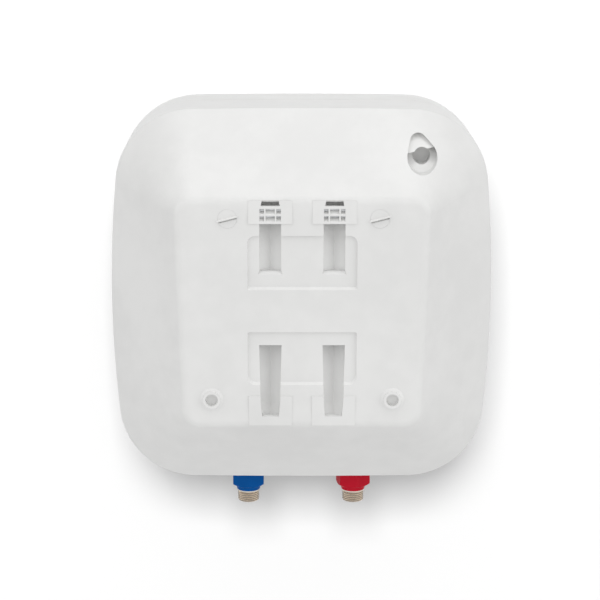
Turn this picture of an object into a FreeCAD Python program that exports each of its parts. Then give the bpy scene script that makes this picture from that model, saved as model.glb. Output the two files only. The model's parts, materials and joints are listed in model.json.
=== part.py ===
import FreeCAD, Part
import math
import os
import Sketcher
from FreeCAD import Placement, Rotation, Vector

# Small square storage water heater for hanging on a wall above a sink.
# X runs to the right for someone facing the front, Y runs from the front to the wall, Z is up.
# The origin lies on the wall, behind the middle of the casing. All sizes are millimetres.

os.makedirs("parts", exist_ok=True)
doc = FreeCAD.newDocument("WaterHeater")
sheet = doc.addObject("Spreadsheet::Sheet", "Sizes")

# Driving dimensions, one heading for each part of the heater.
driving_sizes = {
    "casing": {
        "casingWidth": 360.0,
        "casingHeight": 360.0,
        "casingDepth": 298.0,
        "sideBulge": 14.0,
        "topBulge": 2.0,
        "cornerRadius": 73.0,
        "shellWall": 3.0,
        "rimDepth": 72.0,
        "rimRadius": 4.0,
        "partingDepth": 128.0,
        "partingGap": 0.6,
        "lipHeight": 6.0,
        "lipWall": 1.3,
        "lipClearance": 0.2,
        "frontStraight": 26.0,
        "frontInset": 85.0,
        "frontArc": 72.0,
        "frontArcExtra": 8.0,
        "coverScrewOffset": 60.0,
        "coverScrewDepth": 140.0,
        "coverScrewRadius": 1.5,
        "coverScrewLength": 10.0,
        "coverHeadRadius": 3.5,
        "coverHeadHeight": 2.2,
        "coverSeat": 1.4,
        "tongueWidth": 16.0,
        "tongueHeight": 8.0,
    },
    "raised back": {
        "backHeight": 212.0,
        "backTopWidth": 230.0,
        "backBottomWidth": 216.0,
        "backCorner": 14.0,
        "creaseRadius": 12.0,
    },
    "hook slots": {
        "slotSpacing": 58.2,
        "slotWidth": 19.7,
        "slotWall": 2.0,
        "upperSlotBottom": 39.6,
        "upperSlotTop": 84.6,
        "upperTunnelTop": 104.0,
        "upperBackTop": 20.0,
        "upperBackBottom": 8.0,
        "lowerSlotBottom": -97.0,
        "lowerSlotNeck": -86.0,
        "lowerSlotTop": -29.6,
        "lowerTunnelTop": -10.0,
        "lowerSlotFoot": 15.4,
        "lowerBackTop": 21.0,
        "lowerBackBottom": 9.0,
        "troughDepth": 5.0,
        "lipDrop": 2.6,
        "lipSpread": 1.5,
    },
    "bridges over the slots": {
        "plateWidth": 40.0,
        "plateRise": 1.3,
        "bridgeWall": 3.2,
        "windowRowTop": 98.3,
        "windowHeight": 4.6,
        "windowPitch": 6.4,
        "windowOpenSide": 2.9,
        "windowOpenMiddle": 1.9,
        "windowOpenLow": 2.2,
        "windowMiddle": 8.3,
        "windowSide": 4.1,
        "notchBottom": 100.8,
        "notchWide": 17.3,
        "notchNarrow": 15.3,
        "lowerPlateTop": -77.4,
    },
    "recessed panels": {
        "panelWidth": 98.6,
        "panelDepth": 2.5,
        "panelSideSlope": 0.8,
        "panelRound": 7.0,
        "panelSharp": 1.5,
        "upperPanelTop": 73.2,
        "upperPanelBottom": 25.4,
        "lowerPanelTop": -16.8,
        "lowerPanelBottom": -64.6,
    },
    "wall spacers and foam holes": {
        "spacerHeight": 4.0,
        "spacerOffset": 83.4,
        "spacerDrop": 80.6,
        "spacerRadius": 8.1,
        "spacerBore": 5.7,
        "spacerBoreDepth": 4.0,
        "spacerFlare": 2.6,
        "plugOffset": 69.1,
        "plugShift": 1.1,
        "plugHeight": 89.0,
        "plugRadius": 8.75,
        "plugClearance": 0.08,
        "gripLength": 19.6,
        "gripFoot": 0.4,
        "gripWidth": 1.3,
        "gripHeight": 3.0,
        "gripEdge": 0.35,
        "gripTilt": 14.3,
        "grooveLength": 16.6,
        "grooveWidth": 1.8,
        "grooveDepth": 1.8,
    },
    "cable entry": {
        "entrySide": 70.0,
        "entryDrop": 40.8,
        "entryRadius": 14.0,
        "lobeShift": 3.2,
        "lobeRise": 12.4,
        "lobeRadius": 7.9,
        "entryFloor": 20.0,
        "shelfFloor": 7.0,
        "shelfRise": 5.5,
        "shelfTilt": 12.0,
        "cableBore": 8.0,
        "knockoutDepth": 61.0,
        "knockoutWall": 1.0,
        "sleeveWall": 2.2,
        "sleeveEnd": 84.0,
        "conduitStart": 73.0,
        "conduitWall": 1.6,
    },
    "tank": {
        "tankRadius": 135.0,
        "tankWall": 1.8,
        "tankFrontRoom": 86.0,
        "tankBack": 58.0,
        "domeHeight": 28.0,
        "seamBead": 1.2,
        "seamWidth": 5.0,
        "seatGap": 0.3,
        "foamStandoff": 41.0,
        "foamInset": 12.0,
    },
    "pipes": {
        "pipeSpacing": 103.0,
        "pipeDepth": 100.0,
        "threadRadius": 10.4775,
        "threadLength": 11.0,
        "threadChamfer": 1.0,
        "shankRadius": 10.65,
        "waterBore": 7.6,
        "collarStand": 21.5,
        "collarHidden": 8.0,
        "collarFlats": 30.0,
        "collarChamfer": 4.1,
        "collarBoss": 11.8,
        "collarBossHeight": 2.9,
        "collarFoot": 11.35,
        "collarTurn": 12.0,
        "casingHole": 18.0,
        "innerTubeRadius": 7.3,
        "innerTubeWall": 1.2,
        "inletTubeTop": -84.0,
        "outletTubeTop": 108.0,
    },
    "hanging brackets": {
        "bracketSheet": 2.0,
        "bracketHeight": 14.0,
        "bracketLegGap": 52.0,
        "upperBarHeight": 93.0,
        "lowerBarHeight": -20.0,
    },
    "flange": {
        "neckRadius": 48.0,
        "neckWall": 3.0,
        "controlRoom": 48.0,
        "flangeRadius": 63.0,
        "ringThickness": 5.0,
        "gasketThickness": 3.0,
        "flangeThickness": 4.0,
        "studCircle": 54.0,
        "studRadius": 3.0,
        "studLength": 22.0,
        "nutFlats": 10.0,
        "nutHeight": 5.0,
    },
    "inside the tank": {
        "elementRadius": 4.0,
        "elementSpacing": 32.0,
        "elementEntry": -16.0,
        "elementDrop": 44.0,
        "elementReach": 150.0,
        "elementBend": 22.0,
        "sheathRadius": 5.0,
        "sheathWall": 0.8,
        "sheathReach": 150.0,
        "anodeRadius": 10.5,
        "anodeReach": 120.0,
    },
    "component bracket": {
        "bracketShift": 36.0,
        "bracketWidth": 134.0,
        "bracketDrop": 64.0,
        "bracketTall": 58.0,
        "studHoleGap": 0.4,
    },
    "terminals": {
        "terminalShift": 78.0,
        "terminalDrop": 72.0,
        "terminalWidth": 36.0,
        "terminalTall": 24.0,
        "terminalDepth": 15.0,
        "terminalPitch": 11.0,
        "wellRadius": 2.6,
        "wellDepth": 6.0,
        "wellScrewRadius": 2.2,
        "wellScrewHeight": 3.5,
        "clampDrop": 44.0,
        "clampTall": 9.0,
        "clampDepth": 6.0,
        "clampGroove": 4.0,
        "clampPitch": 13.0,
        "clampScrewRadius": 1.5,
        "clampHeadRadius": 3.2,
        "clampHeadHeight": 2.2,
        "earthShift": 46.0,
        "earthDrop": 46.0,
        "earthRadius": 2.0,
        "earthLength": 4.0,
        "earthHeadRadius": 4.2,
        "earthHeadHeight": 2.6,
    },
    "controls": {
        "knobDrop": 64.0,
        "knobRadius": 21.0,
        "knobHeight": 13.0,
        "dishRadius": 25.0,
        "dishDepth": 6.0,
        "spindleRadius": 3.0,
        "spindleClearance": 0.05,
        "knobGap": 0.5,
        "thermostatSize": 38.0,
        "thermostatDepth": 19.0,
        "lampOffset": 42.0,
        "lampRadius": 4.0,
        "cutoutSize": 28.0,
        "cutoutDepth": 20.0,
        "buttonRadius": 3.5,
        "buttonStand": 3.0,
        "buttonTravel": 1.5,
        "bracketPlate": 1.5,
    },
}


class Size:
    """A size with its number and the sheet formula that gives it."""

    def __init__(self, value, formula):
        self.value = value
        self.formula = formula

    def __add__(self, other):
        other = as_size(other)
        return Size(self.value + other.value, f"({self.formula} + {other.formula})")

    def __radd__(self, other):
        return as_size(other) + self

    def __sub__(self, other):
        other = as_size(other)
        return Size(self.value - other.value, f"({self.formula} - {other.formula})")

    def __rsub__(self, other):
        return as_size(other) - self

    def __mul__(self, other):
        other = as_size(other)
        return Size(self.value * other.value, f"({self.formula} * {other.formula})")

    def __rmul__(self, other):
        return as_size(other) * self

    def __truediv__(self, other):
        other = as_size(other)
        return Size(self.value / other.value, f"({self.formula} / {other.formula})")

    def __neg__(self):
        return Size(-self.value, f"(0 - {self.formula})")


def as_size(number):
    """Give a plain number the same form as a size."""
    if isinstance(number, Size):
        return number
    return Size(float(number), f"{float(number)}")


class Sizes:
    """Reads a driving dimension by its name in the sheet."""

    def __init__(self):
        row = 1
        for heading, group in driving_sizes.items():
            sheet.set(f"A{row}", heading)
            row += 1
            for name, value in group.items():
                sheet.set(f"A{row}", name)
                sheet.set(f"B{row}", str(value))
                sheet.setAlias(f"B{row}", name)
                setattr(self, name, Size(value, f"Sizes.{name}"))
                row += 1


size = Sizes()
doc.recompute()


def at_depth(depth):
    """The Y of a place so deep behind the raised back of the casing."""
    return -(size.spacerHeight + depth)


# Places that follow from the driving dimensions. Depths run from the raised back towards the front.
front_face = size.casingDepth - size.spacerHeight
neck_front = front_face - size.controlRoom
tank_end = front_face - size.tankFrontRoom
foam_front = neck_front - size.foamStandoff
entry_x = size.entrySide - size.casingWidth / 2
entry_z = size.casingHeight / 2 - size.entryDrop
lobe_x = entry_x + size.lobeShift
lobe_z = entry_z + size.lobeRise
collar_bottom = 0 - size.casingHeight / 2 - size.collarStand
collar_top = 0 - size.casingHeight / 2 + size.collarHidden


def bind(piece, prop, value):
    """Tie one property of a piece to the sheet."""
    piece.setExpression(prop, as_size(value).formula)


def place(piece, x, y, z):
    bind(piece, ".Placement.Base.x", x)
    bind(piece, ".Placement.Base.y", y)
    bind(piece, ".Placement.Base.z", z)


along = {
    "x": Rotation(Vector(0, 1, 0), 90),
    "y": Rotation(Vector(1, 0, 0), -90),
    "z": Rotation(),
}


def box(label, x, y, z, width, depth, height):
    """A block given by its lowest corner and its size along X, Y and Z."""
    piece = doc.addObject("Part::Box", label)
    place(piece, x, y, z)
    bind(piece, "Length", width)
    bind(piece, "Width", depth)
    bind(piece, "Height", height)
    return piece


def rod(label, x, y, z, radius, length, direction="y"):
    """A cylinder that starts at a point and runs along one axis."""
    piece = doc.addObject("Part::Cylinder", label)
    piece.Placement = Placement(Vector(), along[direction])
    place(piece, x, y, z)
    bind(piece, "Radius", radius)
    bind(piece, "Height", length)
    return piece


def prism(label, x, y, z, flats, length, direction="y", turn=0.0):
    """A hexagon bar given by its size across the flats."""
    piece = doc.addObject("Part::Prism", label)
    piece.Polygon = 6
    piece.Placement = Placement(Vector(), along[direction].multiply(Rotation(Vector(0, 0, 1), turn)))
    place(piece, x, y, z)
    bind(piece, "Circumradius", as_size(flats) / math.sqrt(3.0))
    bind(piece, "Height", length)
    return piece


def fuse(label, *pieces):
    piece = doc.addObject("Part::MultiFuse", label)
    piece.Shapes = list(pieces)
    return piece


def cut(label, base, *tools):
    piece = doc.addObject("Part::Cut", label)
    piece.Base = base
    piece.Tool = tools[0] if len(tools) == 1 else fuse(label + "Tools", *tools)
    return piece


def common(label, first, second):
    piece = doc.addObject("Part::Common", label)
    piece.Base = first
    piece.Tool = second
    return piece


def shaped(label, shape):
    """A piece whose shape is worked out from the sheet's values in code."""
    piece = doc.addObject("Part::Feature", label)
    piece.Shape = shape
    return piece


nodes = {}


def node(name, piece):
    """Name a finished piece of the heater."""
    piece.Label = name
    nodes[name] = piece
    return piece


# Sketches and turned bodies.

def origin_plane(body, role):
    for feature in body.Origin.OriginFeatures:
        if feature.Role == role:
            return feature
    raise ValueError(role)


def pin_point(sketch, edge, end, x, y):
    """Hold one end of an edge at a place given by the sheet."""
    for axis, kind, value in ((-2, "DistanceX", as_size(x)), (-1, "DistanceY", as_size(y))):
        if value.value == 0.0:
            sketch.addConstraint(Sketcher.Constraint("PointOnObject", edge, end, axis))
            continue
        row = sketch.addConstraint(Sketcher.Constraint(kind, -1, 1, edge, end, value.value))
        sketch.setExpression(f"Constraints[{row}]", value.formula)


def dome_middle(start, end):
    """Middle of the arc between two points, centred on the turning axis."""
    gap = 2 * (start.y - end.y)
    centre = Vector(0, (start.x ** 2 + start.y ** 2 - end.x ** 2 - end.y ** 2) / gap, 0)
    middle = (start + end) * 0.5 - centre
    return centre + middle.normalize() * (start - centre).Length


def outline(body, plane, points, domes=()):
    """A closed sketch through the points; the edges named in domes are arcs about the V axis."""
    sketch = body.newObject("Sketcher::SketchObject", "Outline")
    sketch.AttachmentSupport = [(origin_plane(body, plane), "")]
    sketch.MapMode = "FlatFace"
    spots = [Vector(as_size(x).value, as_size(y).value, 0) for x, y in points]
    count = len(spots)
    first_end = {}
    for edge in range(count):
        start = spots[edge]
        end = spots[(edge + 1) % count]
        first_end[edge] = 1
        if edge in domes:
            sketch.addGeometry(Part.Arc(start, dome_middle(start, end), end), False)
            if (sketch.getPoint(edge, 1) - start).Length > (sketch.getPoint(edge, 1) - end).Length:
                first_end[edge] = 2
            sketch.addConstraint(Sketcher.Constraint("PointOnObject", edge, 3, -2))
        else:
            sketch.addGeometry(Part.LineSegment(start, end), False)
    for edge in range(count):
        following = (edge + 1) % count
        joint = (edge, 3 - first_end[edge], following, first_end[following])
        sketch.addConstraint(Sketcher.Constraint("Coincident", *joint))
    for edge, (x, y) in enumerate(points):
        if edge in domes:
            pin_point(sketch, (edge - 1) % count, 2, x, y)
        else:
            pin_point(sketch, edge, 1, x, y)
    return sketch


def turned(label, plane, points, domes=(), x=0, y=0, z=0):
    """A body turned about the Y axis (XY_Plane) or the Z axis (XZ_Plane) of its own frame."""
    body = doc.addObject("PartDesign::Body", label)
    sketch = outline(body, plane, points, domes)
    turn = body.newObject("PartDesign::Revolution", "Turn")
    turn.Profile = sketch
    turn.ReferenceAxis = (sketch, ["V_Axis"])
    turn.Angle = 360.0
    body.Tip = turn
    place(body, x, y, z)
    return body


# The casing: outlines, the moulded back and the domed front.

def closed_wire(corners, bulges, radius):
    """A level outline with bowed sides and round corners, in the plane Y = 0."""
    edges = []
    for number, start in enumerate(corners):
        end = corners[(number + 1) % len(corners)]
        if bulges[number] == 0.0:
            edges.append(Part.LineSegment(start, end).toShape())
            continue
        outward = (end - start).cross(Vector(0, 1, 0)).normalize()
        middle = (start + end) * 0.5 + outward * bulges[number]
        edges.append(Part.Arc(start, middle, end).toShape())
    thin = Part.Face(Part.Wire(edges)).extrude(Vector(0, 1, 0))
    upright = [edge for edge in thin.Edges if abs(edge.BoundBox.YLength - 1.0) < 1e-6]
    rounded = thin.makeFillet(radius, upright)
    face = min(rounded.Faces, key=lambda side: side.CenterOfMass.y)
    return face.OuterWire


def back_outline(depth, inset):
    """Outline of the raised back, drawn in from its edge by the inset."""
    top = size.backTopWidth.value / 2 - inset
    bottom = size.backBottomWidth.value / 2 - inset
    high = size.backHeight.value / 2 - inset
    corners = [
        Vector(-top, 0, high), Vector(top, 0, high), Vector(bottom, 0, -high),
        Vector(-bottom, 0, -high),
    ]
    wire = closed_wire(corners, [0.0, 0.0, 0.0, 0.0], max(size.backCorner.value - inset, 1.0))
    return moved(wire, depth)


def rim_outline(depth, inset, scale=1.0):
    """Outline of the casing at its widest, drawn in by the inset or scaled down towards the front."""
    side = size.sideBulge.value
    level = size.topBulge.value
    wide = size.casingWidth.value / 2 - inset - side
    high = size.casingHeight.value / 2 - inset - level
    corners = [Vector(-wide, 0, high), Vector(wide, 0, high), Vector(wide, 0, -high), Vector(-wide, 0, -high)]
    wire = closed_wire(corners, [level, side, level, side], size.cornerRadius.value - inset)
    wire.scale(scale)
    return moved(wire, depth)


def moved(shape, depth):
    copy = shape.copy()
    copy.translate(Vector(0, at_depth(depth).value, 0))
    return copy


def loft(wires, ruled=True):
    return Part.makeLoft(wires, True, ruled)


def edges_at(shape, depth):
    """Edges that lie in the plane of one depth."""
    level = at_depth(depth).value
    return [edge for edge in shape.Edges
            if abs(edge.BoundBox.YMin - level) < 0.01 and abs(edge.BoundBox.YMax - level) < 0.01]


def back_body(depth_end):
    """The solid form of the back half, before it is hollowed."""
    solid = loft([back_outline(0, 0), rim_outline(size.rimDepth.value, 0), rim_outline(depth_end, 0)])
    solid = solid.makeFillet(size.rimRadius.value, edges_at(solid, size.rimDepth.value))
    return solid.makeFillet(size.creaseRadius.value, edges_at(solid, 0))


def back_cavity(grow, depth_end):
    """The room inside the back half; grow is the gap kept from its walls."""
    wall = size.shellWall.value + grow
    rise = (size.casingHeight.value - size.backHeight.value) / 2
    half_bend = math.atan2(rise, size.rimDepth.value) / 2
    turn = (math.pi / 2 - 2 * half_bend) / 2
    back = back_outline(wall, wall * math.tan(turn))
    rim = rim_outline(size.rimDepth.value + wall * math.tan(half_bend), wall)
    return loft([back, rim, rim_outline(depth_end, wall)])


def level_loft(sections):
    """A solid through level sections, each a height and its points in X and depth behind the back."""
    wires = []
    for height, points in sections:
        spots = [Vector(x, at_depth(depth).value, height) for x, depth in points]
        wires.append(Part.makePolygon(spots + spots[:1]))
    return loft(wires)


def upright_loft(mouth, floor):
    """A solid between two upright outlines, each a depth and its points in X and Z."""
    wires = []
    for depth, points in (mouth, floor):
        spots = [Vector(x, at_depth(depth).value, z) for x, z in points]
        wires.append(Part.makePolygon(spots + spots[:1]))
    return loft(wires)


def trough(middle, half_width, front, back, crease):
    """Section of a hook pocket: straight sides and a back that falls to a crease in the middle."""
    return [
        (middle - half_width, front),
        (middle + half_width, front),
        (middle + half_width, back),
        (middle, back + crease),
        (middle - half_width, back),
    ]


def upper_pocket(middle, grow, front, bottom, top):
    """Upper hook pocket, deepest at its top; grow adds its walls."""
    half_width = size.slotWidth.value / 2 + grow
    rise = size.upperTunnelTop.value - size.upperSlotBottom.value

    def back_at(height):
        share = (height - size.upperSlotBottom.value) / rise
        span = size.upperBackTop.value - size.troughDepth.value - size.upperBackBottom.value
        return size.upperBackBottom.value + span * share + grow

    sections = []
    for height in (bottom - grow, top + grow):
        crease = size.troughDepth.value
        sections.append((height, trough(middle, half_width, front, back_at(height), crease)))
    return level_loft(sections)


def lower_pocket(middle, grow, front, bottom, top):
    """Lower hook pocket: it narrows downwards and its back comes forward to the wall."""
    rise = size.lowerTunnelTop.value - size.lowerSlotNeck.value

    def back_at(height):
        share = (height - size.lowerSlotNeck.value) / rise
        span = size.lowerBackTop.value - size.troughDepth.value - size.lowerBackBottom.value
        return size.lowerBackBottom.value + span * share + grow

    narrow = size.slotWidth.value / 2 - 1.0 + grow
    wide = size.slotWidth.value / 2 + 0.4 + grow
    foot = size.lowerSlotFoot.value / 2 + grow
    crease = size.troughDepth.value
    sections = [(top + grow, trough(middle, wide, front, back_at(top), crease))]
    neck = size.lowerSlotNeck.value
    sections.append((neck, trough(middle, narrow, front, back_at(neck), crease)))
    if bottom < neck:
        end_back = back_at(neck) - 2.0
        sections.append((bottom - grow, trough(middle, foot, front, end_back, crease / 2)))
    return level_loft(sections)


def block(x0, x1, depth0, depth1, z0, z1):
    """A plain block between two X, two depths and two Z."""
    y1 = at_depth(depth0).value
    y0 = at_depth(depth1).value
    return Part.makeBox(x1 - x0, y1 - y0, z1 - z0, Vector(x0, y0, z0))


def barrel(x, z, radius, depth0, depth1):
    """A round bar along Y between two depths."""
    return Part.makeCylinder(radius, depth1 - depth0, Vector(x, at_depth(depth0).value, z), Vector(0, -1, 0))


def slot_mouth(middle, half_width, bottom, face):
    """The sloping lip below a hook slot, cut from the face at this depth into the pocket."""
    drop = size.lipDrop.value
    spread = size.lipSpread.value
    mouth = [
        (middle - half_width - spread, bottom - drop),
        (middle + half_width + spread, bottom - drop),
        (middle + half_width, bottom + 1.0),
        (middle - half_width, bottom + 1.0),
    ]
    floor = [
        (middle - half_width, bottom),
        (middle + half_width, bottom),
        (middle + half_width, bottom + 1.0),
        (middle - half_width, bottom + 1.0),
    ]
    return upright_loft((face - 0.01, mouth), (face + drop, floor))


def windows(middle):
    """The grid of windows in the bridge over an upper slot, with floors that slope outwards."""
    outer = -size.plateRise.value - 1.0
    inner = size.bridgeWall.value + 0.5
    half = size.slotWidth.value / 2 - 0.2
    side = size.windowSide.value
    centre = size.windowMiddle.value / 2
    height = size.windowHeight.value
    beside = size.windowOpenSide.value
    between = size.windowOpenMiddle.value
    low_row = size.windowOpenLow.value
    columns = [
        (middle - half, middle - half + side, (beside, low_row)),
        (middle - centre, middle + centre, (between, low_row)),
        (middle + half - side, middle + half, (beside, low_row)),
    ]
    cells = []
    for row in range(2):
        top = size.windowRowTop.value - row * size.windowPitch.value
        for left, right, openings in columns:
            steepness = (height - openings[row]) / size.bridgeWall.value
            mouth_low = top - height + steepness * outer
            back_low = top - height + steepness * inner
            mouth = [(left, mouth_low), (right, mouth_low), (right, top), (left, top)]
            back = [(left, back_low), (right, back_low), (right, top), (left, top)]
            cells.append(upright_loft((outer, mouth), (inner, back)))
    wide = size.notchWide.value / 2
    narrow = size.notchNarrow.value / 2
    low = size.notchBottom.value
    high = size.backHeight.value / 2 - 0.2
    notch = [(middle - wide, low), (middle + wide, low), (middle + narrow, high), (middle - narrow, high)]
    cells.append(upright_loft((outer, notch), (inner, notch)))
    return cells


def plates(middle):
    """The plates above an upper and below a lower slot: they rise towards the slot and end flush."""
    half = size.plateWidth.value / 2
    rise = size.plateRise.value
    edge = size.backHeight.value / 2
    plate = []
    for flush, proud in ((edge, size.upperSlotTop.value), (-edge, size.lowerPlateTop.value)):
        corners = [(-0.02, flush), (-rise, proud), (0.5, proud), (0.5, flush)]
        spots = [Vector(middle - half, at_depth(depth).value, z) for depth, z in corners]
        face = Part.Face(Part.makePolygon(spots + spots[:1]))
        plate.append(face.extrude(Vector(2 * half, 0, 0)))
    return plate


def rounded_wire(half_width, low, high, low_round, high_round, depth):
    """An upright outline with its own corner radii below and above, centred on X."""
    y = at_depth(depth).value
    edges = []
    spots = [
        (-half_width, low, low_round, 1, 1),
        (half_width, low, low_round, -1, 1),
        (half_width, high, high_round, -1, -1),
        (-half_width, high, high_round, 1, -1),
    ]
    ends = []
    for number, (x, z, radius, inward, upward) in enumerate(spots):
        beside = Vector(x + inward * radius, y, z)
        above = Vector(x, y, z + upward * radius)
        nick = radius * (1.0 - math.sqrt(0.5))
        middle = Vector(x + inward * nick, y, z + upward * nick)
        first, last = (above, beside) if number % 2 == 0 else (beside, above)
        ends.append((first, middle, last))
    for number, (first, middle, last) in enumerate(ends):
        edges.append(Part.Arc(first, middle, last).toShape())
        following = ends[(number + 1) % 4][0]
        edges.append(Part.LineSegment(last, following).toShape())
    return Part.Wire(edges)


def panel(low, high, low_round, high_round):
    """A recessed panel whose lower edge slopes out to the face, its sides more steeply."""
    half = size.panelWidth.value / 2
    depth = size.panelDepth.value
    mouth = rounded_wire(half + size.panelSideSlope.value, low - depth, high, low_round, high_round, -0.01)
    floor = rounded_wire(half, low, high, low_round, high_round, depth)
    return loft([mouth, floor])


def teardrop(grow, depth):
    """Outline of the cable entry: a large round below a small one, with straight sides between."""
    low = Vector(entry_x.value, 0, entry_z.value)
    high = Vector(lobe_x.value, 0, lobe_z.value)
    low_radius = size.entryRadius.value + grow
    high_radius = size.lobeRadius.value + grow
    lean = math.atan2(high.z - low.z, high.x - low.x)
    spread = math.acos((low_radius - high_radius) / (high - low).Length)

    def spot(centre, radius, angle):
        return centre + Vector(radius * math.cos(angle), 0, radius * math.sin(angle))

    edges = [
        Part.Arc(
            spot(low, low_radius, lean + spread),
            spot(low, low_radius, lean + math.pi),
            spot(low, low_radius, lean - spread),
        ).toShape(),
        Part.LineSegment(
            spot(low, low_radius, lean - spread), spot(high, high_radius, lean - spread),
        ).toShape(),
        Part.Arc(
            spot(high, high_radius, lean - spread),
            spot(high, high_radius, lean),
            spot(high, high_radius, lean + spread),
        ).toShape(),
        Part.LineSegment(
            spot(high, high_radius, lean + spread), spot(low, low_radius, lean + spread),
        ).toShape(),
    ]
    return moved(Part.Wire(edges), depth)


def slope_depth(height):
    """Depth of the sloping top of the casing at one height."""
    rise = (size.casingHeight.value - size.backHeight.value) / 2
    return (height - size.backHeight.value / 2) * size.rimDepth.value / rise


def before_slope(behind, x0, x1):
    """Everything nearer the wall than a plane set so far behind the sloping top."""
    spots = []
    low = size.backHeight.value / 2 - 40.0
    high = size.casingHeight.value / 2 + 20.0
    corners = [
        (-60.0, low),
        (slope_depth(low) + behind, low),
        (slope_depth(high) + behind, high),
        (-60.0, high),
    ]
    for depth, z in corners:
        spots.append(Vector(x0, at_depth(depth).value, z))
    face = Part.Face(Part.makePolygon(spots + spots[:1]))
    return face.extrude(Vector(x1 - x0, 0, 0))


def entry_space(grow):
    """The hollow of the cable entry: a shelf above, a deep round below and the cable's bore."""
    left = entry_x.value - 40.0
    right = entry_x.value + 40.0
    reach = Vector(0, -90.0, 0)
    drop = Part.Face(teardrop(grow, -10.0)).extrude(reach)
    shelf = drop.common(before_slope(size.shelfFloor.value + grow, left, right))
    deep = drop.common(before_slope(size.entryFloor.value + grow * 1.4, left, right))
    if grow > 0.0:
        return deep
    edge = Part.makeBox(120.0, 200.0, 120.0, Vector(-60.0, -100.0, -120.0))
    edge.rotate(Vector(), Vector(0, 1, 0), size.shelfTilt.value)
    edge.translate(Vector(entry_x.value, at_depth(0).value, entry_z.value + size.shelfRise.value))
    return shelf.fuse(deep.common(edge))


def rear_shell():
    """The moulded back of the casing."""
    x = size.slotSpacing.value / 2
    half = size.slotWidth.value / 2
    wall = size.shellWall.value
    slot_wall = size.slotWall.value
    body = back_body(size.partingDepth.value)
    hollow = back_cavity(0, size.partingDepth.value + 1)
    spacers = []
    spacer_walls = []
    spacer_bores = []
    for side in (-1, 1):
        middle = side * size.spacerOffset.value
        low = -size.spacerDrop.value
        radius = size.spacerRadius.value
        rise = size.spacerHeight.value
        spacers.append(barrel(middle, low, radius, -rise, 1.0))
        spacer_walls.append(barrel(middle, low, radius, 1.0, size.spacerBoreDepth.value))
        flare = Part.makeCone(radius + size.spacerFlare.value, radius, 1.4,
                              Vector(middle, at_depth(0).value, low), Vector(0, 1, 0))
        spacers.append(flare)
        bore_end = size.spacerBoreDepth.value - 3.0
        spacer_bores.append(barrel(middle, low, size.spacerBore.value, -rise - 1.0, bore_end))
    raised = []
    walls = spacer_walls + tongues(0.0)
    spaces = bracket_spaces(size.seatGap.value) + cover_screw_holes(0.1)
    for middle in (-x, x):
        raised += plates(middle)
        upper = (size.upperSlotBottom.value, size.upperTunnelTop.value)
        lower = (size.lowerSlotBottom.value, size.lowerTunnelTop.value)
        walls.append(upper_pocket(middle, slot_wall, 1.0, *upper))
        walls.append(lower_pocket(middle, slot_wall, 1.0, *lower))
        spaces.append(upper_pocket(middle, 0.0, size.bridgeWall.value, *upper))
        spaces.append(upper_pocket(middle, 0.0, -5.0, size.upperSlotBottom.value, size.upperSlotTop.value))
        spaces.append(lower_pocket(middle, 0.0, size.panelDepth.value + wall, *lower))
        spaces.append(lower_pocket(middle, 0.0, -5.0, size.lowerSlotBottom.value, size.lowerSlotTop.value))
        spaces.append(slot_mouth(middle, half, size.upperSlotBottom.value, size.panelDepth.value))
        spaces.append(slot_mouth(middle, size.lowerSlotFoot.value / 2, size.lowerSlotBottom.value, 0.0))
        spaces += windows(middle)
    sharp = size.panelSharp.value
    large = size.panelRound.value
    for low, high, below, above in (
        (size.upperPanelBottom.value, size.upperPanelTop.value, sharp, large),
        (size.lowerPanelBottom.value, size.lowerPanelTop.value, large, sharp),
    ):
        spaces.append(panel(low, high, below, above))
        reach = size.panelWidth.value / 2 + wall
        walls.append(block(-reach, reach, 1.0, size.panelDepth.value + wall, low - wall, high + wall))
    walls.append(entry_space(2.0).common(body))
    sleeve_radius = size.cableBore.value + size.sleeveWall.value
    entry = (entry_x.value, entry_z.value)
    walls.append(barrel(*entry, sleeve_radius, slope_depth(entry[1]) + 10.0, size.sleeveEnd.value))
    spaces.append(entry_space(0.0))
    knockout = size.knockoutDepth.value
    spaces.append(barrel(*entry, size.cableBore.value, -10.0, knockout))
    knockout += size.knockoutWall.value
    spaces.append(barrel(*entry, size.cableBore.value, knockout, size.sleeveEnd.value + 1.0))
    for side in (-1, 1):
        hole = size.plugRadius.value + size.plugClearance.value
        middle = side * size.plugOffset.value - size.plugShift.value
        spaces.append(barrel(middle, size.plugHeight.value, hole, -1.0, wall + 1.0))
        spaces.append(Part.makeCylinder(
            size.casingHole.value,
            60.0,
            Vector(
                side * size.pipeSpacing.value / 2, at_depth(size.pipeDepth).value,
                -size.casingHeight.value / 2 - 20.0,
            ),
        ))
    lip = size.lipHeight.value
    outer_lip = rim_outline(size.partingDepth.value - lip, wall - size.lipWall.value)
    outer_lip = Part.Face(outer_lip).extrude(Vector(0, -2 * lip, 0))
    shell = body.fuse(raised + spacers).cut(hollow).fuse(walls)
    shell = shell.fuse(outer_lip.cut(hollow_band(wall, lip)))
    return shell.cut(spaces + spacer_bores)


def tongues(grow):
    """Tongues below that run forward behind the front shell and take its two screws."""
    half = size.tongueWidth.value / 2 + grow
    depth = size.coverScrewDepth.value
    parting = size.partingDepth.value
    low = -size.casingHeight.value / 2 + size.shellWall.value + 1.1
    high = low + size.tongueHeight.value + grow
    root = parting - size.lipHeight.value
    pieces = []
    for side in (-1, 1):
        middle = side * size.coverScrewOffset.value
        end = depth + half - grow + grow
        pieces.append(block(middle - half, middle + half, root - 5.0 - grow, end, low - grow, high))
        pieces.append(block(middle - half, middle + half, root - 5.0 - grow, root, low - 1.5, high))
    return pieces


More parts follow.
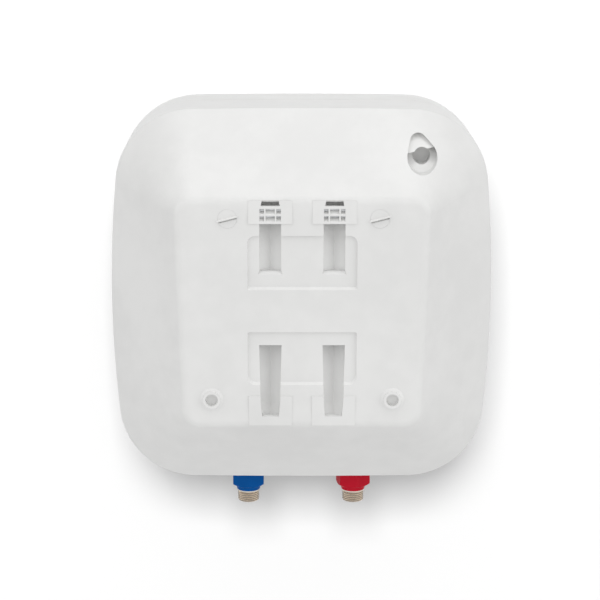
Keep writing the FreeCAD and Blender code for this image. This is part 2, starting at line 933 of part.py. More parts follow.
def cover_screw_holes(grow):
    """Holes for the two screws that hold the front shell."""
    low = -size.casingHeight.value / 2
    y = at_depth(size.coverScrewDepth).value
    pieces = []
    for side in (-1, 1):
        start = Vector(side * size.coverScrewOffset.value, y, low - 1.0)
        end = size.coverSeat.value + size.coverScrewLength.value + 1.5
        pieces.append(Part.makeCylinder(size.coverScrewRadius.value + grow, end, start))
    return pieces


def bracket_spaces(grow):
    """Room for the bars and legs of the two hanging brackets."""
    reach = size.bracketLegGap.value + size.bracketSheet.value
    half = size.bracketHeight.value / 2 + grow
    spaces = []
    for middle, depth in (
        (size.upperBarHeight.value, upper_bar_depth().value),
        (size.lowerBarHeight.value, lower_bar_depth().value),
    ):
        back = depth + size.bracketSheet.value + grow
        spaces.append(block(-reach - grow, reach + grow, depth - grow, back, middle - half, middle + half))
    return spaces


def upper_bar_depth():
    return size.bridgeWall + size.seatGap


def lower_bar_depth():
    return size.panelDepth + size.shellWall + size.seatGap


def hollow_band(inset, lip):
    """The room inside the lip where the two halves of the casing meet."""
    face = Part.Face(rim_outline(size.partingDepth.value - 3 * lip, inset))
    return face.extrude(Vector(0, -6 * lip, 0))


def front_form(wall, start):
    """The front half: a short straight wall, then an even curve that the flat front cuts off."""
    bend = size.partingDepth.value + size.frontStraight.value
    front = front_face.value - wall
    half = size.casingWidth.value / 2 - wall
    reach = (front - bend) / math.sin(math.radians(size.frontArc.value))
    last = math.radians(size.frontArc.value + size.frontArcExtra.value)
    straight = loft([rim_outline(start, wall), rim_outline(bend, wall)])
    sections = []
    steps = 6
    for step in range(steps + 1):
        angle = last * step / steps
        inset = size.frontInset.value * (1.0 - math.cos(angle))
        sections.append(rim_outline(bend + reach * math.sin(angle), wall, (half - inset) / half))
    whole = straight.fuse(loft(sections, ruled=False)).removeSplitter()
    side = size.casingWidth.value
    return whole.cut(block(-side, side, front, front + side, -side, side))


def front_shell():
    """The moulded front with the dish and hole for the knob and the hole for the lamp."""
    wall = size.shellWall.value
    front = front_face.value
    start = size.partingDepth.value + size.partingGap.value
    outer = front_form(0.0, start)
    inner = front_form(wall, start - 2.0)
    low = -size.knobDrop.value
    dish = size.dishRadius.value
    floor = front - size.dishDepth.value
    dish_wall = barrel(0.0, low, dish + wall, floor - wall, front - 1.0)
    lip_room = Part.Face(rim_outline(start - 2.0, wall - size.lipWall.value - size.lipClearance.value))
    lip_room = lip_room.extrude(Vector(0, -(size.lipHeight.value + 2.5), 0))
    spindle_room = size.spindleRadius.value + 2.0
    spaces = [
        lip_room,
        barrel(0.0, low, dish, floor, front + 5.0),
        barrel(0.0, low, spindle_room, floor - wall - 1.0, floor + 1.0),
        barrel(
            size.lampOffset.value, low, size.lampRadius.value + size.seatGap.value,
            front - wall - 2.0, front + 5.0,
        ),
    ]
    spaces += cover_screw_holes(0.3)
    for side in (-1, 1):
        seat = Vector(side * size.coverScrewOffset.value, at_depth(size.coverScrewDepth).value, 0)
        seat.z = -size.casingHeight.value / 2 - 1.0
        spaces.append(Part.makeCylinder(size.coverHeadRadius.value + 0.5, size.coverSeat.value + 1.0, seat))
    return outer.cut(inner).fuse(dish_wall).cut(spaces)


def tank_form(grow):
    """Outer form of the tank, for the room that its insulation and brackets leave."""
    radius = size.tankRadius.value + grow
    dome = size.domeHeight.value + grow
    start = size.tankBack.value
    end = tank_end.value
    cap = (radius ** 2 + dome ** 2) / (2 * dome)
    whole = barrel(0.0, 0.0, radius, start - dome, end + dome)
    back = Part.makeSphere(cap, Vector(0, at_depth(start - dome + cap).value, 0))
    front = Part.makeSphere(cap, Vector(0, at_depth(end + dome - cap).value, 0))
    return whole.common(back).common(front)


def seam_depth():
    """Depth at which the two halves of the tank meet."""
    return (size.tankBack + tank_end) / 2


def foam_form():
    """Rigid foam that fills the casing round the tank."""
    gap = size.seatGap.value
    parting = size.partingDepth.value
    lip = size.lipHeight.value
    rear = back_cavity(gap, parting - lip)
    face = Part.Face(rim_outline(parting - lip - 1.0, size.foamInset.value))
    ahead = face.extrude(Vector(0, -(foam_front.value - parting + lip + 1.0), 0))
    low = collar_top.value
    seam = seam_depth().value
    bead = size.tankRadius.value + size.seamBead.value + gap
    spaces = [tank_form(gap)] + bracket_spaces(gap) + tongues(gap) + cover_screw_holes(gap)
    spaces.append(barrel(0.0, 0.0, bead, seam - gap, seam + size.seamWidth.value + gap))
    for middle, depth in (
        (size.upperBarHeight.value, upper_bar_depth().value),
        (size.lowerBarHeight.value, lower_bar_depth().value),
    ):
        half = size.bracketHeight.value / 2 + gap
        for side in (-1, 1):
            inner = side * (size.bracketLegGap.value - gap)
            outer = side * (size.bracketLegGap.value + size.bracketSheet.value + gap)
            left, right = sorted((inner, outer))
            spaces.append(block(left, right, depth, size.tankBack.value, middle - half, middle + half))
    walls = size.slotWall.value + gap
    for side in (-1, 1):
        middle = side * size.slotSpacing.value / 2
        spaces.append(upper_pocket(middle, walls, 0.0, size.upperSlotBottom.value, size.upperTunnelTop.value))
        spaces.append(lower_pocket(middle, walls, 0.0, size.lowerSlotBottom.value, size.lowerTunnelTop.value))
        spaces.append(barrel(side * size.spacerOffset.value, -size.spacerDrop.value,
                             size.spacerRadius.value + gap, 0.0, size.spacerBoreDepth.value + gap))
        middle = side * size.plugOffset.value - size.plugShift.value
        spaces.append(barrel(middle, size.plugHeight.value, size.plugRadius.value + gap,
                             0.0, size.shellWall.value + 5.0 + gap))
        pipe = Vector(
            side * size.pipeSpacing.value / 2, at_depth(size.pipeDepth).value,
            -size.casingHeight.value,
        )
        spaces.append(Part.makeCylinder(size.shankRadius.value + gap, size.casingHeight.value, pipe))
        spaces.append(Part.makeCylinder(size.casingHole.value, low + gap + size.casingHeight.value, pipe))
    reach = size.panelWidth.value / 2 + size.shellWall.value + gap
    for bottom, top in (
        (size.upperPanelBottom.value, size.upperPanelTop.value),
        (size.lowerPanelBottom.value, size.lowerPanelTop.value),
    ):
        edge = size.shellWall.value + gap
        spaces.append(block(-reach, reach, 0.0, size.panelDepth.value + edge, bottom - edge, top + edge))
    spaces.append(entry_space(2.0 + gap))
    conduit = size.cableBore.value + size.sleeveWall.value + size.seatGap.value + size.conduitWall.value + gap
    spaces.append(barrel(entry_x.value, entry_z.value, conduit, 30.0, foam_front.value + 5.0))
    return rear.fuse(ahead).cut(spaces)


def bent_path(points, radius):
    """A path of straight runs joined by tangent arcs of one radius; points are X, depth and Z."""
    spots = [Vector(x, at_depth(depth).value, z) for x, depth, z in points]
    edges = []
    start = spots[0]
    for number in range(1, len(spots) - 1):
        corner = spots[number]
        back = (spots[number - 1] - corner).normalize()
        ahead = (spots[number + 1] - corner).normalize()
        half_turn = (math.pi - back.getAngle(ahead)) / 2
        reach = radius * math.tan(half_turn)
        first = corner + back * reach
        last = corner + ahead * reach
        bisector = (back + ahead).normalize()
        middle = corner + bisector * (radius / math.cos(half_turn) - radius)
        edges.append(Part.LineSegment(start, first).toShape())
        edges.append(Part.Arc(first, middle, last).toShape())
        start = last
    edges.append(Part.LineSegment(start, spots[-1]).toShape())
    return edges


def piped(edges, radius):
    """A round bar swept along a path that starts along Y."""
    start = edges[0].Vertexes[0].Point
    ring = Part.Wire([Part.makeCircle(radius, start, edges[0].tangentAt(edges[0].FirstParameter))])
    return Part.Wire(edges).makePipeShell([ring], True, False)


def element_form():
    """The heating element: two bent legs joined by a half turn."""
    half = size.elementSpacing.value / 2
    front = outside_depth(4.0).value
    neck = neck_front.value
    entry = size.elementEntry.value
    low = entry - size.elementDrop.value
    tip = neck - size.elementReach.value
    bend = size.elementBend.value

    def leg(side):
        return [
            (side * half, front, entry),
            (side * half, neck - 14.0, entry),
            (side * half, neck - 58.0, low),
            (side * half, tip, low),
        ]

    out = bent_path(leg(-1), bend)
    back = bent_path(list(reversed(leg(1))), bend)
    turn = Part.Arc(
        Vector(-half, at_depth(tip).value, low),
        Vector(0.0, at_depth(tip - half).value, low),
        Vector(half, at_depth(tip).value, low),
    ).toShape()
    return piped(out + [turn] + back, size.elementRadius.value)


# Depths of the flange stack, from the neck towards the front.
plate_back = neck_front + size.gasketThickness
plate_front = plate_back + size.flangeThickness
nut_front = plate_front + size.nutHeight
bracket_front = nut_front + size.bracketPlate
dish_floor = front_face - size.dishDepth


def outside_depth(stand):
    """Depth of something that stands out of the flange plate."""
    return plate_front + stand


def bar(label, x, depth, z, radius, length):
    """A round bar along Y that starts at one depth and runs so far towards the front."""
    return rod(label, x, at_depth(depth) - length, z, radius, length)


def slab(label, x, depth, z, width, thickness, height):
    """A block centred on X and Z that starts at one depth and is so thick towards the front."""
    return box(label, x - as_size(width) / 2, at_depth(depth) - thickness, z - as_size(height) / 2,
               width, thickness, height)


def casing():
    node("rear_shell", shaped("rear_shell", rear_shell()))
    node("front_shell", shaped("front_shell", front_shell()))
    node("foam_insulation", shaped("foam_insulation", foam_form()))
    conduit_bore = size.cableBore + size.sleeveWall + size.seatGap
    length = foam_front + 2.0 - size.conduitStart
    outer = bar("ConduitOuter", entry_x, size.conduitStart, entry_z, conduit_bore + size.conduitWall, length)
    bore = bar("ConduitBore", entry_x, size.conduitStart - 1.0, entry_z, conduit_bore, length + 2.0)
    node("cable_conduit", cut("cable_conduit", outer, bore))
    screws = []
    low = 0 - size.casingHeight / 2 + size.coverSeat
    for side in (-1, 1):
        x = side * size.coverScrewOffset
        y = at_depth(size.coverScrewDepth)
        shank = rod(f"CoverShank{side + 1}", x, y, low, size.coverScrewRadius, size.coverScrewLength, "z")
        head = rod(f"CoverHead{side + 1}", x, y, low - size.coverHeadHeight, size.coverHeadRadius,
                   size.coverHeadHeight, "z")
        screws.append(fuse(f"CoverScrew{side + 1}", shank, head))
    node("cover_screws", fuse("cover_screws", *screws))


def foam_plug(name, side):
    """Disc that closes a foam filling hole, with a stem behind and a grip bar across it."""
    disc = rod(name + "Disc", 0, 0 - size.shellWall, 0, size.plugRadius, size.shellWall)
    stem = rod(name + "Stem", 0, 0 - size.shellWall - 5.0, 0, size.plugRadius - 1.5, 5.0)
    foot = -size.gripFoot.value
    height = size.gripHeight.value
    left = -size.gripLength.value / 2
    section = [
        (0.0, foot),
        (height, foot),
        (height, foot + size.gripEdge.value),
        (0.0, foot + size.gripWidth.value),
    ]
    spots = [Vector(left, y, z) for y, z in section]
    face = Part.Face(Part.makePolygon(spots + spots[:1]))
    grip = shaped(name + "Grip", face.extrude(Vector(size.gripLength.value, 0, 0)))
    whole = fuse(name + "Whole", disc, stem, grip)
    groove = box(name + "Groove", 0 - size.grooveLength / 2, 0 - size.grooveDepth,
                 0 - size.gripFoot - size.grooveWidth, size.grooveLength,
                 size.grooveDepth + 1.0, size.grooveWidth)
    plug = cut(name, whole, groove)
    plug.Placement = Placement(Vector(), Rotation(Vector(0, 1, 0), size.gripTilt.value))
    place(plug, side * size.plugOffset - size.plugShift, at_depth(0), size.plugHeight)
    node(name, plug)


def tank():
    pole = size.tankBack - size.domeHeight
    middle = seam_depth()
    inner = size.tankRadius - size.tankWall
    rear = turned("TankRear", "XY_Plane", [
        (0, at_depth(pole)),
        (size.tankRadius, at_depth(size.tankBack)),
        (size.tankRadius, at_depth(middle)),
        (inner, at_depth(middle)),
        (inner, at_depth(size.tankBack)),
        (0, at_depth(pole + size.tankWall)),
    ], domes=(0, 4))
    holes = []
    for side, name in ((1, "Inlet"), (-1, "Outlet")):
        holes.append(rod(name + "TankHole", side * size.pipeSpacing / 2, at_depth(size.pipeDepth),
                         0 - size.tankRadius - 5.0, size.shankRadius + size.seatGap, 60.0, "z"))
    node("tank_rear_half", cut("tank_rear_half", rear, *holes))
    end = tank_end
    front = turned("TankFront", "XY_Plane", [
        (0, at_depth(end + size.domeHeight)),
        (size.tankRadius, at_depth(end)),
        (size.tankRadius, at_depth(middle + size.seamWidth)),
        (size.tankRadius + size.seamBead, at_depth(middle + size.seamWidth)),
        (size.tankRadius + size.seamBead, at_depth(middle)),
        (inner, at_depth(middle)),
        (inner, at_depth(end)),
        (0, at_depth(end + size.domeHeight - size.tankWall)),
    ], domes=(0, 6))
    mouth = bar("NeckHole", 0, end, 0, size.neckRadius + size.seatGap, 60.0)
    node("tank_front_half", cut("tank_front_half", front, mouth))


def stud_places():
    circle = size.studCircle
    return [(circle * math.cos(math.radians(60 * turn)), circle * math.sin(math.radians(60 * turn)))
            for turn in range(6)]


def stud_holes(label, depth, length, places):
    return [bar(f"{label}{number}", x, depth, z, size.studRadius + size.studHoleGap, length)
            for number, (x, z) in enumerate(places)]


def nuts(name, depth, places, flats, bore):
    """Hexagon nuts on the studs, kept as one group."""
    pieces = []
    for number, (x, z) in enumerate(places):
        hexagon = prism(f"{name}Hex{number}", x, at_depth(depth) - size.nutHeight, z, flats, size.nutHeight)
        hole = bar(f"{name}Bore{number}", x, depth - 1.0, z, bore, size.nutHeight + 2.0)
        pieces.append(cut(f"{name}{number}", hexagon, hole))
    node(name, fuse(name, *pieces) if len(pieces) > 1 else pieces[0])


def flange():
    places = stud_places()
    end = tank_end
    inner_end = end + size.domeHeight - 8.0
    tube = bar("NeckTube", 0, inner_end, 0, size.neckRadius, neck_front - inner_end)
    ring = bar("NeckRing", 0, neck_front - size.ringThickness, 0, size.flangeRadius, size.ringThickness)
    bore = bar("NeckBore", 0, inner_end - 1.0, 0, size.neckRadius - size.neckWall, neck_front)
    node("tank_neck", cut("tank_neck", fuse("NeckSolid", tube, ring), bore))
    seal = bar("GasketDisc", 0, neck_front, 0, size.flangeRadius - 2.0, size.gasketThickness)
    seal_bore = bar("GasketBore", 0, neck_front - 1.0, 0, size.neckRadius - size.neckWall - 1.0, 10.0)
    holes = stud_holes("GasketHole", neck_front - 1.0, 10.0, places)
    node("flange_gasket", cut("flange_gasket", seal, seal_bore, *holes))
    disc = bar("FlangeDisc", 0, plate_back, 0, size.flangeRadius, size.flangeThickness)
    holes = stud_holes("FlangeHole", plate_back - 1.0, 10.0, places)
    gap = size.seatGap
    for side in (-1, 1):
        holes.append(bar(f"ElementHole{side + 1}", side * size.elementSpacing / 2, plate_back - 1.0,
                         size.elementEntry, size.elementRadius + gap, 10.0))
    holes.append(bar("SheathHole", sheath_x, plate_back - 1.0, sheath_z, size.sheathRadius + gap, 10.0))
    holes.append(bar("AnodeHole", anode_x, plate_back - 1.0, anode_z, 4.0 + gap, 10.0))
    node("flange_plate", cut("flange_plate", disc, *holes))
    studs = [bar(f"Stud{number}", x, neck_front, z, size.studRadius, size.studLength)
             for number, (x, z) in enumerate(places)]
    node("flange_studs", fuse("flange_studs", *studs))
    nuts("flange_nuts", plate_front, places, size.nutFlats, size.studRadius + 0.1)


sheath_x = size.elementSpacing * 0.375
sheath_z = size.elementSpacing * 0.5625
anode_x = size.elementSpacing * -0.6875
anode_z = size.elementSpacing * 0.625


def inside_tank():
    node("heating_element", shaped("heating_element", element_form()))
    terminals = []
    for side in (-1, 1):
        x = side * size.elementSpacing / 2
        bead = bar(f"Bead{side + 1}", x, outside_depth(4.0), size.elementEntry, size.elementRadius - 0.5, 3.0)
        tab = bar(f"Tab{side + 1}", x, outside_depth(7.0), size.elementEntry, 1.6, 9.0)
        terminals.append(fuse(f"Terminal{side + 1}", bead, tab))
    node("element_terminals", fuse("element_terminals", *terminals))
    reach = size.sheathReach
    outer = bar("SheathOuter", sheath_x, neck_front - reach, sheath_z, size.sheathRadius,
                reach + plate_front - neck_front + 4.0)
    bore = bar("SheathBore", sheath_x, neck_front - reach + size.sheathWall, sheath_z,
               size.sheathRadius - size.sheathWall, reach + 60.0)
    node("thermostat_sheath", cut("thermostat_sheath", outer, bore))
    rod_end = neck_front - 12.0
    magnesium = bar(
        "AnodeBar", anode_x, rod_end - size.anodeReach, anode_z, size.anodeRadius, size.anodeReach,
    )
    stud = bar("AnodeStud", anode_x, rod_end, anode_z, 4.0, plate_front + size.nutHeight + 3.0 - rod_end)
    node("magnesium_anode", fuse("magnesium_anode", magnesium, stud))
    nuts("anode_nut", plate_front, [(anode_x, anode_z)], 13.0, 4.1)


def pipe(name, collar_name, side, turn):
    """One water pipe: the threaded nipple and its hexagonal coloured collar."""
    x = side * size.pipeSpacing / 2
    y = at_depth(size.pipeDepth)
    thread_end = collar_bottom - size.threadLength - size.threadChamfer
    top = 0 - size.tankRadius + 14.0
    nipple = turned(name, "XZ_Plane", [
        (size.waterBore, top),
        (size.waterBore, thread_end),
        (size.threadRadius - size.threadChamfer, thread_end),
        (size.threadRadius, thread_end + size.threadChamfer),
        (size.threadRadius, collar_bottom),
        (size.shankRadius, collar_bottom),
        (size.shankRadius, top),
    ], x=x, y=y)
    node(name, nipple)
    length = collar_top - collar_bottom
    hexagon = prism(collar_name + "Hex", x, y, collar_bottom, size.collarFlats, length, "z", turn)
    corner = size.collarFlats / math.sqrt(3.0)
    form = turned(collar_name + "Form", "XZ_Plane", [
        (0, collar_bottom),
        (size.collarFoot, collar_bottom),
        (size.collarBoss, collar_bottom + size.collarBossHeight),
        (corner + 1.0, collar_bottom + size.collarBossHeight + size.collarChamfer),
        (corner + 1.0, collar_top),
        (0, collar_top),
    ], x=x, y=y)
    bore = rod(
        collar_name + "Bore", x, y, collar_bottom - 1.0, size.shankRadius + size.seatGap,
        length + 2.0, "z",
    )
    node(collar_name, cut(collar_name, common(collar_name + "Solid", hexagon, form), bore))


def inner_tube(name, side, top):
    """The tube inside a nipple that carries the water in or out."""
    x = side * size.pipeSpacing / 2
    y = at_depth(size.pipeDepth)
    low = collar_bottom
    outer = rod(name + "Outer", x, y, low, size.innerTubeRadius, top - low, "z")
    bore = rod(
        name + "Bore", x, y, low - 1.0, size.innerTubeRadius - size.innerTubeWall, top - low + 2.0,
        "z",
    )
    return outer, bore


def pipes():
    pipe("cold_inlet_nipple", "cold_collar", 1, 30.0)
    pipe("hot_outlet_nipple", "hot_collar", -1, 30.0 + size.collarTurn.value)
    outer, bore = inner_tube("Diffuser", 1, size.inletTubeTop)
    cap = rod("DiffuserCap", size.pipeSpacing / 2, at_depth(size.pipeDepth), size.inletTubeTop - 2.0,
              size.innerTubeRadius, 2.0, "z")
    slots = []
    left = size.pipeSpacing / 2 - 12.0
    front = at_depth(size.pipeDepth) - 3.0
    for level in range(3):
        z = size.inletTubeTop - 8.0 - 7.0 * level
        slots.append(box(f"DiffuserSlot{level}", left, front, z, 24.0, 6.0, 3.0))
    tube = cut("DiffuserTube", outer, bore)
    node("inlet_diffuser", cut("inlet_diffuser", fuse("DiffuserSolid", tube, cap), *slots))
    outer, bore = inner_tube("StandPipe", -1, size.outletTubeTop)
    node("outlet_stand_pipe", cut("outlet_stand_pipe", outer, bore))


def hanging_bracket(name, middle, depth):
    """A bar behind the hook slots with two legs that reach the back of the tank."""
    sheet_metal = size.bracketSheet
    reach = size.bracketLegGap + sheet_metal
    low = middle - size.bracketHeight / 2
    bar_piece = box(
        name + "Bar", 0 - reach, at_depth(depth + sheet_metal), low, reach * 2, sheet_metal,
        size.bracketHeight,
    )
    legs = []
    for side, start in ((0, 0 - reach), (1, size.bracketLegGap)):
        legs.append(box(f"{name}Leg{side}", start, at_depth(size.tankBack), low,
                        sheet_metal, size.tankBack - depth, size.bracketHeight))
    room = shaped(name + "TankRoom", tank_form(size.seatGap.value))
    node(name, cut(name, fuse(name + "Solid", bar_piece, *legs), room))


def controls():
    low = 0 - size.knobDrop
    plate = slab("BracketPlate", 0 - size.bracketShift, nut_front, 0 - size.bracketDrop,
                 size.bracketWidth, size.bracketPlate, size.bracketTall)
    holes = stud_holes("BracketHole", nut_front - 1.0, 5.0, stud_places()[4:])
    node("component_bracket", cut("component_bracket", plate, *holes))
    nuts("bracket_nuts", bracket_front, stud_places()[4:], size.nutFlats, size.studRadius + 0.1)
    case = slab(
        "ThermostatCase", 0, bracket_front, low, size.thermostatSize, size.thermostatDepth,
        size.thermostatSize,
    )
    bush = bar("ThermostatBush", 0, bracket_front + size.thermostatDepth, low, 5.0, 3.0)
    spindle_end = bracket_front + 3.0
    hole = bar("SpindleHole", 0, spindle_end - 0.5, low, size.spindleRadius + size.spindleClearance, 60.0)
    node("thermostat", cut("thermostat", fuse("ThermostatSolid", case, bush), hole))
    knob_back = dish_floor + size.knobGap
    node(
        "thermostat_spindle",
        bar("thermostat_spindle", 0, spindle_end, low, size.spindleRadius, knob_back + 8.0 - spindle_end),
    )
    knob(knob_back)
    lens = bar(
        "LensStem", size.lampOffset, front_face - size.shellWall - 1.5, low, size.lampRadius,
        size.shellWall + 2.5,
    )
    lens_flange = bar(
        "LensFlange", size.lampOffset, front_face - size.shellWall - 1.8, low,
        size.lampRadius + 2.0, 1.5,
    )
    node("pilot_lens", fuse("pilot_lens", lens, lens_flange))
    lamp_start = front_face - size.shellWall - 19.8
    lamp = bar("pilot_lamp", size.lampOffset, lamp_start, low, size.lampRadius + 1.0, 18.0)
    node("pilot_lamp", lamp)
    cutout_case = slab(
        "CutoutCase", sheath_x, plate_front + 0.3, sheath_z, size.cutoutSize, size.cutoutDepth,
        size.cutoutSize,
    )
    channel_low = sheath_z - size.cutoutSize / 2 - 1.0
    channel = box("CutoutChannel", sheath_x - 12.0, at_depth(plate_front + 9.0), channel_low,
                  20.0, 9.0, size.cutoutSize / 2 + 8.0)
    button_start = plate_front + 0.3 + size.cutoutDepth - size.buttonStand
    button_hole = bar("ButtonHole", sheath_x, button_start - size.buttonTravel - 0.5, sheath_z,
                      size.buttonRadius + size.spindleClearance, 30.0)
    node("thermal_cutout", cut("thermal_cutout", cutout_case, channel, button_hole))
    node(
        "reset_button",
        bar("reset_button", sheath_x, button_start, sheath_z, size.buttonRadius, size.buttonStand * 2),
    )
    node("thermostat_capillary", shaped("thermostat_capillary", capillary_form()))
    terminals()


def capillary_form():
    """Sensing bulb in the sheath and the thin tube from it to the thermostat."""
    start = neck_front.value - size.sheathReach.value + 8.0
    turn = plate_front.value + 6.0
    x = sheath_x.value
    z = sheath_z.value
    entry = bracket_front.value + size.thermostatDepth.value / 2
    top = -size.knobDrop.value + size.thermostatSize.value / 2
    points = [
        (x, start + 80.0, z),
        (x, turn, z),
        (4.0, turn, z - 14.0),
        (4.0, turn, top + 30.0),
        (4.0, entry, top + 18.0),
        (4.0, entry, top + size.seatGap.value),
    ]
    tube = piped(bent_path(points, 3.0), 0.9)
    bulb = barrel(
        x, z, size.sheathRadius.value - size.sheathWall.value - size.seatGap.value - 0.4, start,
        start + 82.0,
    )
    return tube.fuse(bulb)


def knob(back):
    """Round knob with a domed face, finger flutes and a pointer groove."""
    low = 0 - size.knobDrop
    radius = size.knobRadius
    tall = size.knobHeight
    form = turned("KnobForm", "XY_Plane", [
        (0, at_depth(back)),
        (radius, at_depth(back)),
        (radius - 1.0, at_depth(back + tall - 2.0)),
        (radius - 3.0, at_depth(back + tall)),
        (0, at_depth(back + tall)),
    ], z=low)
    cuts = [bar("KnobBore", 0, back - 1.0, low, size.spindleRadius + 0.02, 9.0)]
    for turn in range(12):
        angle = math.radians(30 * turn + 15)
        cuts.append(bar(f"KnobFlute{turn}", (radius + 1.6) * math.cos(angle), back + 3.0,
                        low + (radius + 1.6) * math.sin(angle), 3.2, tall + 2.0))
    cuts.append(box("KnobPointer", -0.9, at_depth(back + tall + 1.0), low + 6.0, 1.8, 2.0, radius - 9.0))
    node("temperature_knob", cut("temperature_knob", form, *cuts))


def terminals():
    """Terminal block, cable clamp and earth screw on the component bracket."""
    x = 0 - size.terminalShift
    block_z = 0 - size.terminalDrop
    clamp_z = 0 - size.clampDrop
    well_floor = bracket_front + size.terminalDepth - size.wellDepth
    body = slab(
        "TerminalCase", x, bracket_front, block_z, size.terminalWidth, size.terminalDepth,
        size.terminalTall,
    )
    wells = []
    screws = []
    for n in (-1, 0, 1):
        well_x = x + n * size.terminalPitch
        spot = (well_x, well_floor, block_z)
        wells.append(bar(f"TerminalWell{n + 1}", *spot, size.wellRadius, size.wellDepth * 2))
        screws.append(bar(f"TerminalScrew{n + 1}", *spot, size.wellScrewRadius, size.wellScrewHeight))
    node("terminal_block", cut("terminal_block", body, *wells))
    node("terminal_screws", fuse("terminal_screws", *screws))
    clamp = slab("ClampBar", x, bracket_front, clamp_z, size.terminalWidth, size.clampDepth, size.clampTall)
    groove = rod("ClampGroove", x, at_depth(bracket_front), clamp_z - size.clampTall, size.clampGroove,
                 size.clampTall * 2, "z")
    holes = []
    heads = []
    for n in (-1, 1):
        screw_x = x + n * size.clampPitch
        holes.append(bar(f"ClampHole{n + 1}", screw_x, bracket_front - 1.0, clamp_z,
                         size.clampScrewRadius + size.seatGap, size.clampDepth * 2))
        shank = bar(
            f"ClampShank{n + 1}", screw_x, bracket_front, clamp_z, size.clampScrewRadius,
            size.clampDepth,
        )
        head = bar(f"ClampHead{n + 1}", screw_x, bracket_front + size.clampDepth, clamp_z,
                   size.clampHeadRadius, size.clampHeadHeight)
        heads.append(fuse(f"ClampScrew{n + 1}", shank, head))
    node("cable_clamp", cut("cable_clamp", clamp, groove, *holes))
    node("clamp_screws", fuse("clamp_screws", *heads))
    earth_x = 0 - size.earthShift
    earth_z = 0 - size.earthDrop
    shank = bar("EarthShank", earth_x, bracket_front, earth_z, size.earthRadius, size.earthLength)
    head = bar("EarthHead", earth_x, bracket_front, earth_z, size.earthHeadRadius, size.earthHeadHeight)
    node("earth_screw", fuse("earth_screw", shank, head))


casing()
foam_plug("foam_plug_right", 1)
foam_plug("foam_plug_left", -1)
tank()
flange()
inside_tank()
pipes()
hanging_bracket("upper_hanging_bracket", size.upperBarHeight, upper_bar_depth())
hanging_bracket("lower_hanging_bracket", size.lowerBarHeight, lower_bar_depth())
controls()


def finish():
    """Recompute, check every object and write one file for each piece."""
    doc.recompute()
    for item in doc.Objects:
        if "Invalid" in item.State or "Error" in item.State:
            raise RuntimeError(f"{item.Label} failed: {item.State}")
    for name, piece in nodes.items():
        shape = piece.Shape
        if shape.isNull() or not shape.isValid() or not shape.Solids:
            raise RuntimeError(f"{name} has no valid solid")
    for name, piece in nodes.items():
        piece.Shape.exportStep(f"parts/{name}.step")
    print(len(nodes), "pieces written")


finish()
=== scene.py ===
import bpy
import json
import math
from mathutils import Euler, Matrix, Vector

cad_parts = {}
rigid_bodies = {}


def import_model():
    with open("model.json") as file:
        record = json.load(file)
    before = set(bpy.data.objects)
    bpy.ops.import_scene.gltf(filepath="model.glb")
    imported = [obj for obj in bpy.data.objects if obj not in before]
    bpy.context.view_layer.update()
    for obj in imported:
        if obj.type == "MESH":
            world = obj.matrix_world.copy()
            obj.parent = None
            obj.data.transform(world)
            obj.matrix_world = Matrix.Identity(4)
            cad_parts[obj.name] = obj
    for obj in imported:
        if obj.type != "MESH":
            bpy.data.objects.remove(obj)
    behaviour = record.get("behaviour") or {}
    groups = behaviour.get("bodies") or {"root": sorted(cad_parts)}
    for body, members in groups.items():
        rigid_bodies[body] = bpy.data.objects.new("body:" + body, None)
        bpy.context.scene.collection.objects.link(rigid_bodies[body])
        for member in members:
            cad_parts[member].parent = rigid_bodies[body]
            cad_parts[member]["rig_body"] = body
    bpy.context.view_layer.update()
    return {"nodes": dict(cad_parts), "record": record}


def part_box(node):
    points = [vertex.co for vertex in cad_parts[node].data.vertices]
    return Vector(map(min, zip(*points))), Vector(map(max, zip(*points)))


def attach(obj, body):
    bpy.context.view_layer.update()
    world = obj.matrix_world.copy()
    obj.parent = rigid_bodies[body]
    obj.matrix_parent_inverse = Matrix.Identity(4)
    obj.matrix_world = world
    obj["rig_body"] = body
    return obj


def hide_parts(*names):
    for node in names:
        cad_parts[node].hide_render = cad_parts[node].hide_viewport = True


# A small square storage water heater, seen from behind. Metres, in the frame of the construction:
# X to the right of someone who faces the front, Y from the front to the wall, Z up.

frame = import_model()
nodes = frame["nodes"]
slotOf = {row["node"]: row["material_slot"] for row in frame["record"]["subparts"]}
print("frame loaded,", len(nodes), "nodes")


# Shader maths

class Shade:
    # wraps one socket of a node, so that plain maths on it adds Math nodes
    def __init__(self, tree, socket=None):
        self.tree = tree
        self.socket = socket

    def node(self, kind, settings=None, sockets=None, out=0):
        made = self.tree.nodes.new(kind)
        for name, value in (settings or {}).items():
            if name == "stops":
                fillRamp(made.color_ramp, value)
            else:
                setattr(made, name, value)
        for name, value in (sockets or {}).items():
            if isinstance(value, Shade):
                self.tree.links.new(value.socket, made.inputs[name])
            else:
                made.inputs[name].default_value = value
        return Shade(self.tree, made.outputs[out] if made.outputs else None)

    def maths(self, operation, other=None):
        sockets = {0: self}
        if other is not None:
            sockets[1] = other
        return self.node("ShaderNodeMath", {"operation": operation}, sockets)

    def __add__(self, other):
        return self.maths("ADD", other)

    def __radd__(self, other):
        return self + other

    def __sub__(self, other):
        return self.maths("SUBTRACT", other)

    def __rsub__(self, other):
        return self * -1.0 + other

    def __mul__(self, other):
        return self.maths("MULTIPLY", other)

    def __rmul__(self, other):
        return self * other

    def smooth(self, low, high):
        return self.node("ShaderNodeMapRange", {"interpolation_type": "SMOOTHSTEP"},
                         {"Value": self, "From Min": low, "From Max": high})

    def mix(self, first, second):
        return self.node("ShaderNodeMix", {"data_type": "RGBA"}, {"Factor": self, 6: first, 7: second}, out=2)


def fillRamp(ramp, stops):
    while len(ramp.elements) < len(stops):
        ramp.elements.new(0.5)
    for element, (place, colour) in zip(ramp.elements, stops):
        element.position = place
        element.color = colour


